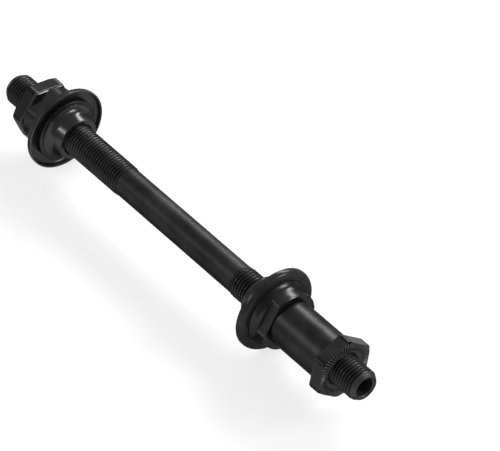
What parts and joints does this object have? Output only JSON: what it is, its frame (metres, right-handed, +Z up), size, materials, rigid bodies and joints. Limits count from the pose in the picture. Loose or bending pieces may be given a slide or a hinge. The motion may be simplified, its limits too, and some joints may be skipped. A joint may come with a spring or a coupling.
{
  "type": "bicycle hub axle",
  "caption": "Hollow threaded rear hub axle for a quick-release wheel, with bearing cones, dust caps, a spacer and serrated locknuts.",
  "frame": {"origin": "midpoint of the axle's length, on its own axis", "axes": "+Y along the axle to its left end (the spacer is at the right end), +Z up, +X forward on the bicycle; the set lies level on its two dust caps"},
  "size_m": [0.0242, 0.146, 0.0242],
  "materials": {
    "axle": "black oxide, satin",
    "locknut": "semi-gloss black oxide on steel",
    "cone": "black oxide, semi-gloss, race polished",
    "dust_cap": "semi-gloss black oxide on steel",
    "spacer": "semi-gloss black oxide on steel"
  },
  "bodies": {
    "axle": {"axle": "axle"},
    "left_cone": {"left_cone": "cone", "left_dust_cap": "dust_cap"},
    "left_locknut": {"left_locknut": "locknut"},
    "right_cone": {"right_cone": "cone", "right_dust_cap": "dust_cap"},
    "spacer": {"spacer": "spacer"},
    "right_locknut": {"right_locknut": "locknut"}
  },
  "joints": [
    {"name": "left_cone_travel", "type": "slide", "parent": "axle", "child": "left_cone", "axis": [0, 1, 0], "range_m": [-0.01953, 0.00963]},
    {"name": "left_locknut_turn", "type": "hinge", "parent": "left_cone", "child": "left_locknut", "pos_m": [0, 0.06128, 0], "axis": [0, 1, 0], "range_deg": [-7200, 3550]},
    {"name": "right_cone_travel", "type": "slide", "parent": "axle", "child": "right_cone", "axis": [0, 1, 0], "range_m": [0, 0.0059]},
    {"name": "spacer_travel", "type": "slide", "parent": "right_cone", "child": "spacer", "axis": [0, -1, 0], "range_m": [0, 0.00781]},
    {"name": "right_locknut_turn", "type": "hinge", "parent": "spacer", "child": "right_locknut", "pos_m": [0, -0.06288, 0], "axis": [0, -1, 0], "range_deg": [0, 2880]}
  ],
  "couplings": [
    {"joint": "left_locknut_turn", "follows": "left_cone_travel", "rad_per_m": 6431.6},
    {"joint": "right_locknut_turn", "follows": "spacer_travel", "rad_per_m": 6431.6}
  ]
}
